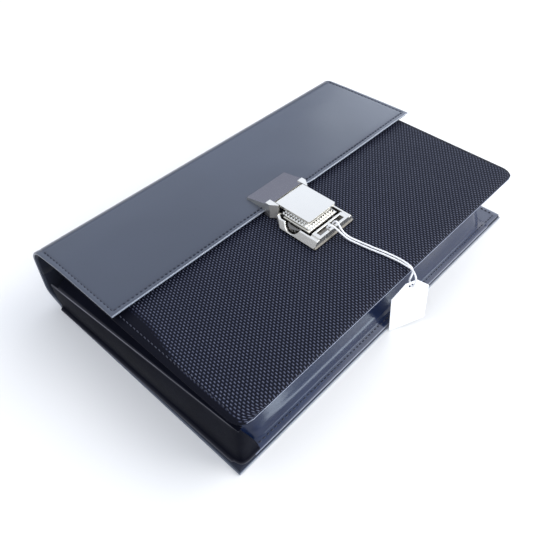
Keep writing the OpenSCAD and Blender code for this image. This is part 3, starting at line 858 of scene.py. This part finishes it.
def make_main_gusset(side):
    """The flat wall round the main compartment. On the left it wraps round the bottom corner in a
    narrow ear, and on the right its lower end is tucked in."""
    left = side < 0
    points = [(ridge_point(y)[0] - 0.2, y) for y in (184, 176, 159, 142, 125, 108, 91, 74, 57)]
    if left:
        points += [(ridge_point(y)[0] - 0.2, y) for y in (38, 24, 12)]
        points += [(146.0, 6.5), (144.6, 3.4), (141.5, 2.4), (137, 2.3), (131, 2.3)]
        ear = 14.0
    else:
        points += [(147.6, 46), (146.4, 38), (142.5, 32.5), (134, 30), (124, 29)]
        ear = 0.0
    line, normals = ribbon(points, 5)
    reaches = [0.0]
    for a, b in zip(line, line[1:]):
        reaches.append(reaches[-1] + math.dist(a, b))
    length = reaches[-1]

    def on_line(s):
        """Point and outward normal at a distance along the line."""
        k = max(1, min(bisect.bisect_left(reaches, s), len(line) - 1))
        t = min(1.0, (s - reaches[k - 1]) / (reaches[k] - reaches[k - 1]))
        return [a + (b - a) * t for a, b in zip(line[k - 1] + normals[k - 1], line[k] + normals[k])]

    def surface(u, v, depth):
        mouth = MOUTH_SLANT * (1 - v) ** 1.2 if left else 0.0
        s = mouth + u * (length - mouth - ear * v ** 1.3)
        x, y, nx, ny = on_line(s)
        top = ridge_z(max(y, GUSSET_Y0)) - 0.6
        z = BACK_IN + (top - BACK_IN) * v
        bulge = 0.9 * math.sin(math.pi * v) * math.sin(math.pi * min(1, u * 1.02)) ** 0.5
        bulge += 0.35 * wobble(s, z, 28, 2.2 + side)
        bulge *= ease(v * 6) * ease((1 - v) * 8)
        flare = 2.2 * (1 - ease(v * 12)) * (0.5 if u > 0.9 else 1)
        lift = bulge + flare - depth
        return side * (x + nx * lift), y + ny * lift, z

    us = sorted({round(r / length, 5) for r in reaches} | {0.003, 0.008, 0.992, 0.997})
    vs = [0, 0.01, 0.03, 0.06, 0.11, 0.2, 0.35, 0.5, 0.65, 0.8, 0.89, 0.94, 0.97, 0.985, 0.995, 1.0]

    def gap(u, v):
        return min(u * length, (1 - v) * WALL_H, (1 - u) * length, v * WALL_H + 0.4)

    # Pale along the ridge, partly real wear and partly painted highlight where the rolled edge catches
    # the light, and a paler line along the foot.
    def values(u, v):
        top = edge_fade((1 - v) * WALL_H, 1.5) * (0.4 + 0.6 * ease(u * 8))
        return {"wear": min(1.0, top + 0.4 * edge_fade(v * WALL_H, 1.6))}

    name = "main_gusset_left" if left else "main_gusset_right"
    piece = sheet(name + "_leather", us, vs, surface, GUSSET_T, 0.6, "side_leather", gap, values)
    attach(piece, "bag")
    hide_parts(name)


def make_pocket_gusset(side):
    """The folded strip between the ridge and the front panel."""
    left = side < 0

    def surface(y, v, depth):
        share = share_at(y)
        x0, z0 = ridge_point(y)
        x1, z1 = SIDE_IN - VALLEY_IN * share, FRONT_IN - (FRONT_IN + 1 - ridge_z(y)) / 2
        x2, z2 = SIDE_IN - 0.5, FRONT_IN
        k = v * 2
        if k <= 1:
            x, z = x0 + (x1 - x0) * k, z0 + (z1 - z0) * k
        else:
            x, z = x1 + (x2 - x1) * (k - 1), z1 + (z2 - z1) * (k - 1)
        pinch = math.exp(-((k - 1) / 0.18) ** 2) * 1.2 * share
        x += pinch - depth + 0.5 * wobble(y, z, 22, 6 + side) * share * math.sin(math.pi * v)
        return side * x, y, z

    vs = [0, 0.03, 0.08, 0.16, 0.26, 0.36, 0.43, 0.47, 0.5, 0.53, 0.57, 0.64, 0.74, 0.85, 0.95, 1.0]
    us = steps(2.5 if left else RIGHT_Y0, GUSSET_Y1, 5, 0.6)

    def gap(u, v):
        return min(u - us[0], us[-1] - u, v * 30 + 0.2, (1 - v) * 30 + 0.2)

    name = "pocket_gusset_left" if left else "pocket_gusset_right"
    # Pale along the ridge, partly real wear and partly painted highlight where the rolled edge catches
    # the light.
    piece = sheet(name + "_leather", us, vs, surface, GUSSET_T, 0.6, "side_leather", gap,
                  lambda u, v: {"wear": 0.6 * edge_fade(v * 20, 1.0)})
    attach(piece, "bag")
    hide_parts(name)


BOTTOM = size_of("bottom_gusset")
# the bottom's section as (y, z), from the flange's edge up to the front panel
BOTTOM_SECTION = [
    (0.7, 4.1), (1.8, 4.8), (3.0, 5.75), (4.4, 7.05), (5.5, 8.1), (6.1, 9.6), (6.8, 12.2),
    (7.9, 16), (8.7, 20.5), (9.1, 26.5), (8.6, 33), (7.4, 39), (5.8, 43.6), (4.2, 46.6),
]
FLANGE_Z = 4.8
# soft dents of the bottom: x, z, half-width, half-height and depth
DENTS = [(-127, 28, 6, 14, 1.8), (84, 30, 22, 12, 2.0), (114, 36, 15, 10, 2.4)]
# the long hollow in its left half, with steeper ends than a dent: the same five numbers
HOLLOW = (-57, 26, 74, 9, 9)


def make_bottom_gusset():
    """The bottom, bowed inwards and creased by use, whose two ends are tucked in."""
    x0, x1 = -136.0, BOTTOM[1].x
    line = [(p.x, p.y) for p in through([(y, z, 0) for y, z in BOTTOM_SECTION], 4)]
    top_z = line[-1][1]
    hollow_x, hollow_z, hollow_w, hollow_h, hollow_deep = HOLLOW

    def surface(u, v, depth):
        k = int(v)
        y, z = line[k]
        a, b = line[max(k - 1, 0)], line[min(k + 1, len(line) - 1)]
        length = math.dist(a, b)
        ny, nz = (a[1] - b[1]) / length, (b[0] - a[0]) / length
        share = (z - FLANGE_Z) / (top_z - FLANGE_Z)
        dent = sum(
            deep * math.exp(-((u - cx) / wx) ** 2 - ((z - cz) / wz) ** 2)
            for cx, cz, wx, wz, deep in DENTS
        )
        dent += hollow_deep * math.exp(-((u - hollow_x) / hollow_w) ** 4
                                       - ((z - hollow_z) / hollow_h) ** 2)
        dent *= ease((z - 8) / 8) * ease((top_z - z) / 6)
        right = ease((u - (x1 - 16)) / 16) ** 2
        left = ease((x0 + 12 - u) / 12) ** 2
        tuck = (5 * right + 4 * left) * ease((v - 8) / 10)
        depth += dent
        slant = 9 * ease((u - (x1 - 40)) / 40) * min(max(share, 0), 1)
        return u - slant, y - ny * depth + tuck, z - nz * depth

    us = steps(x0, x1, 3.0, 0.6)
    vs = list(range(len(line)))
    piece = sheet("bottom_gusset_leather", us, vs, surface, GUSSET_T, 0.6, "gusset_leather",
                  lambda u, v: min(u - us[0], us[-1] - u, v * 0.3, (vs[-1] - v) * 0.7 + 0.2),
                  values=lambda u, v: {"wear": edge_fade(v * 0.3, 1.1)})
    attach(piece, "bag")
    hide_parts("bottom_gusset")


def make_corner_flange():
    """The flat end of the gusset's flange, which covers the back panel's right bottom corner."""
    thick = 0.9

    def surface(u, v, depth):
        return u, v, BACK_IN + thick + 0.15 * wobble(u, v, 9, 4.4) - depth

    # The whole corner flange is painted paler than the rest of the gusset leather, standing in for the
    # bright room its flat face reflects.
    piece = sheet("corner_flange_leather", steps(129.5, 148.6, 2.5, 0.45), steps(1.4, 30, 2.5, 0.45),
                  surface, thick, 0.45, "gusset_leather", values=lambda u, v: {"wear": 0.2})
    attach(piece, "bag")
    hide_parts("bottom_gusset")


for one_side in (-1, 1):
    make_main_gusset(one_side)
    make_pocket_gusset(one_side)
make_bottom_gusset()
make_corner_flange()


# ---- stitches ----
STITCH = 3.3
STITCH_L = 2.5
STITCH_R = 0.4


def stitch_row(start, end, normal):
    """Stitches in a straight row: middle, direction and normal of each."""
    start, end = Vector(start), Vector(end)
    length = (end - start).length
    count = max(1, round(length / STITCH))
    direction = (end - start) / length
    return [(start + direction * length * (i + 0.5) / count, direction, Vector(normal))
            for i in range(count)]


def make_stitches(name, stitches, body, node, sink=0.1):
    """One piece of many small closed threads, each arched over its stitch."""
    rings, sides = 7, 8
    points, faces = [], []
    for middle, direction, normal in stitches:
        across_it = direction.cross(normal)
        base = len(points)
        for r in range(rings):
            t = r / (rings - 1) * 2 - 1
            radius = STITCH_R * max(0.12, 1 - t ** 4)
            lift = STITCH_R * (1 - t * t) * 0.9 - sink - STITCH_R * 0.6 * t * t
            centre = middle + direction * t * STITCH_L / 2 + normal * lift
            centre += across_it * t * 0.18
            for k in range(sides):
                angle = 2 * math.pi * k / sides
                points.append(centre + across_it * radius * math.cos(angle)
                              + normal * radius * 0.8 * math.sin(angle))
        for r in range(rings - 1):
            for k in range(sides):
                a, b = base + r * sides + k, base + r * sides + (k + 1) % sides
                faces.append([a, b, b + sides, a + sides])
        faces.append([base + k for k in range(sides)][::-1])
        faces.append([base + (rings - 1) * sides + k for k in range(sides)])
    piece = make_piece(name, points, faces, "thread", weld=0.0001)
    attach(piece, body)
    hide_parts(node)


UP = (0, 0, 1)


def make_all_stitches():
    x = FLAP_W / 2 - FLAP_SEAM
    y = FLAP_Y + FLAP_SEAM
    end = BAG_H - 11
    flap = stitch_row((-x, end, FLAP_TOP), (-x, y, FLAP_TOP), UP)
    flap += stitch_row((-x, y, FLAP_TOP), (x, y, FLAP_TOP), UP)
    flap += stitch_row((x, y, FLAP_TOP), (x, end, FLAP_TOP), UP)
    flap = [
        (middle + Vector((*flap_shift(middle.x / (FLAP_W / 2), middle.y), 0)), direction, normal)
        for middle, direction, normal in flap
        if abs(middle.x - CLASP_X) > 19.5 or middle.y > 121
    ]
    make_stitches("flap_stitches", flap, "flap", "flap_thread", sink=0.02)
    x = FRONT_W / 2 - STITCH_IN
    z = BAG_T - WEAVE_H - 0.35
    front = stitch_row((-x, FRONT_H - 1, z), (-x, 12, z), UP)
    front += stitch_row((x, 12, z), (x, FRONT_H - 1, z), UP)
    make_stitches("front_stitches", front, "bag", "front_thread", sink=0.0)
    flange = stitch_row((-134, 4.0, 6.65), (127, 4.0, 6.65), (0, -0.71, 0.70))
    corner_z = BACK_IN + 0.95
    flange += stitch_row((132, 4.4, corner_z), (145, 4.4, corner_z), UP)
    flange += stitch_row((145.4, 6.4, corner_z), (145.4, 27, corner_z), UP)
    make_stitches("back_stitches", flange, "bag", "back_thread", sink=0.0)


make_all_stitches()


# ---- lock, clasp and tag ----
def assign(node, slot, bevel=0.0):
    """A CAD node with a finish, and softened edges where bevel is over 0."""
    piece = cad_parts[node]
    piece.data.materials.clear()
    piece.data.materials.append(MATERIALS[slot])
    if bevel:
        weld = piece.modifiers.new("weld", "WELD")
        weld.merge_threshold = 0.00001
        flat = piece.modifiers.new("flat", "DECIMATE")
        flat.decimate_type = "DISSOLVE"
        flat.angle_limit = math.radians(1)
        soft = piece.modifiers.new("soft", "BEVEL")
        soft.width = bevel * MM
        soft.segments = 3
        soft.limit_method = "ANGLE"
        soft.angle_limit = math.radians(28)


for node_name in ("back_board", "front_board", "flap_board"):
    assign(node_name, "board")
assign("lock_casing", "chrome", 0.25)
assign("clasp_plate", "chrome", 0.3)
assign("clasp_housing", "chrome")
assign("release_slide", "chrome")
for node_name in ("lock_base", "lock_backing_plate", "lock_rivets", "wheel_axles", "thumbwheel_left",
                  "thumbwheel_right", "detent_springs", "lock_bolt", "return_spring",
                  "clasp_backing_plate", "clasp_rivets", "clasp_pin", "clasp_hook"):
    assign(node_name, "steel")
assign("tag_card", "card")


# ---- floor and light ----
def make_floor():
    half = 4.0
    mesh = bpy.data.meshes.new("floor")
    mesh.from_pydata([(-half, -half, 0), (half, -half, 0), (half, half, 0), (-half, half, 0)],
                     [], [[0, 1, 2, 3]])
    mesh.materials.append(floor_paint())
    floor = bpy.data.objects.new("floor", mesh)
    floor.location.z = -0.0002
    scene.collection.objects.link(floor)


def area_light(name, where, towards, size, power, colour=(1, 1, 1)):
    data = bpy.data.lights.new(name, "AREA")
    data.shape = "RECTANGLE"
    data.size, data.size_y = size
    data.energy = power
    data.color = colour
    lamp = bpy.data.objects.new(name, data)
    lamp.location = where
    lamp.rotation_mode = "QUATERNION"
    lamp.rotation_quaternion = (Vector(towards) - Vector(where)).to_track_quat("-Z", "Y")
    scene.collection.objects.link(lamp)


def make_world():
    """A room with a bright ceiling above darker walls, and a pale far floor."""
    world = bpy.data.worlds.new("studio")
    world.use_nodes = True
    tree = world.node_tree
    direction = tree.nodes.new("ShaderNodeTexCoord")
    split = tree.nodes.new("ShaderNodeSeparateXYZ")
    ramp = tree.nodes.new("ShaderNodeValToRGB")
    stops = (
        (0.0, (0.95, 0.95, 0.94)), (0.14, (0.85, 0.86, 0.88)), (0.27, (0.24, 0.26, 0.36)),
        (0.39, (0.26, 0.28, 0.38)), (0.47, (1.50, 1.66, 1.98)), (0.53, (1.20, 1.34, 1.60)),
        (0.62, (1.13, 1.22, 1.40)), (0.8, (0.88, 0.93, 1.04)), (1.0, (0.85, 0.85, 0.86)),
    )
    while len(ramp.color_ramp.elements) < len(stops):
        ramp.color_ramp.elements.new(0.5)
    for element, (at, colour) in zip(ramp.color_ramp.elements, stops):
        element.position = at
        element.color = (*colour, 1)
    tree.links.new(direction.outputs["Generated"], split.inputs[0])
    tree.links.new(split.outputs["Z"], ramp.inputs[0])
    tree.links.new(ramp.outputs[0], tree.nodes["Background"].inputs["Color"])
    scene.world = world


make_floor()
make_world()
area_light("key", (1.35, -0.95, 1.35), (0, 0, 0), (1.9, 1.6), 26, (1.0, 0.98, 0.95))
area_light("window", (2.3, 0.9, 1.2), (0.1, 0, 0.05), (1.3, 0.8), 6, (0.88, 0.94, 1.0))
area_light("low_window", (0.9, -1.55, 0.32), (0, 0, 0.03), (1.0, 0.4), 12, (0.78, 0.89, 1.0))
area_light("fill", (-1.3, -1.1, 1.2), (0, 0, 0), (1.6, 1.2), 7, (1.0, 0.99, 0.97))
scene.view_settings.view_transform = "Standard"
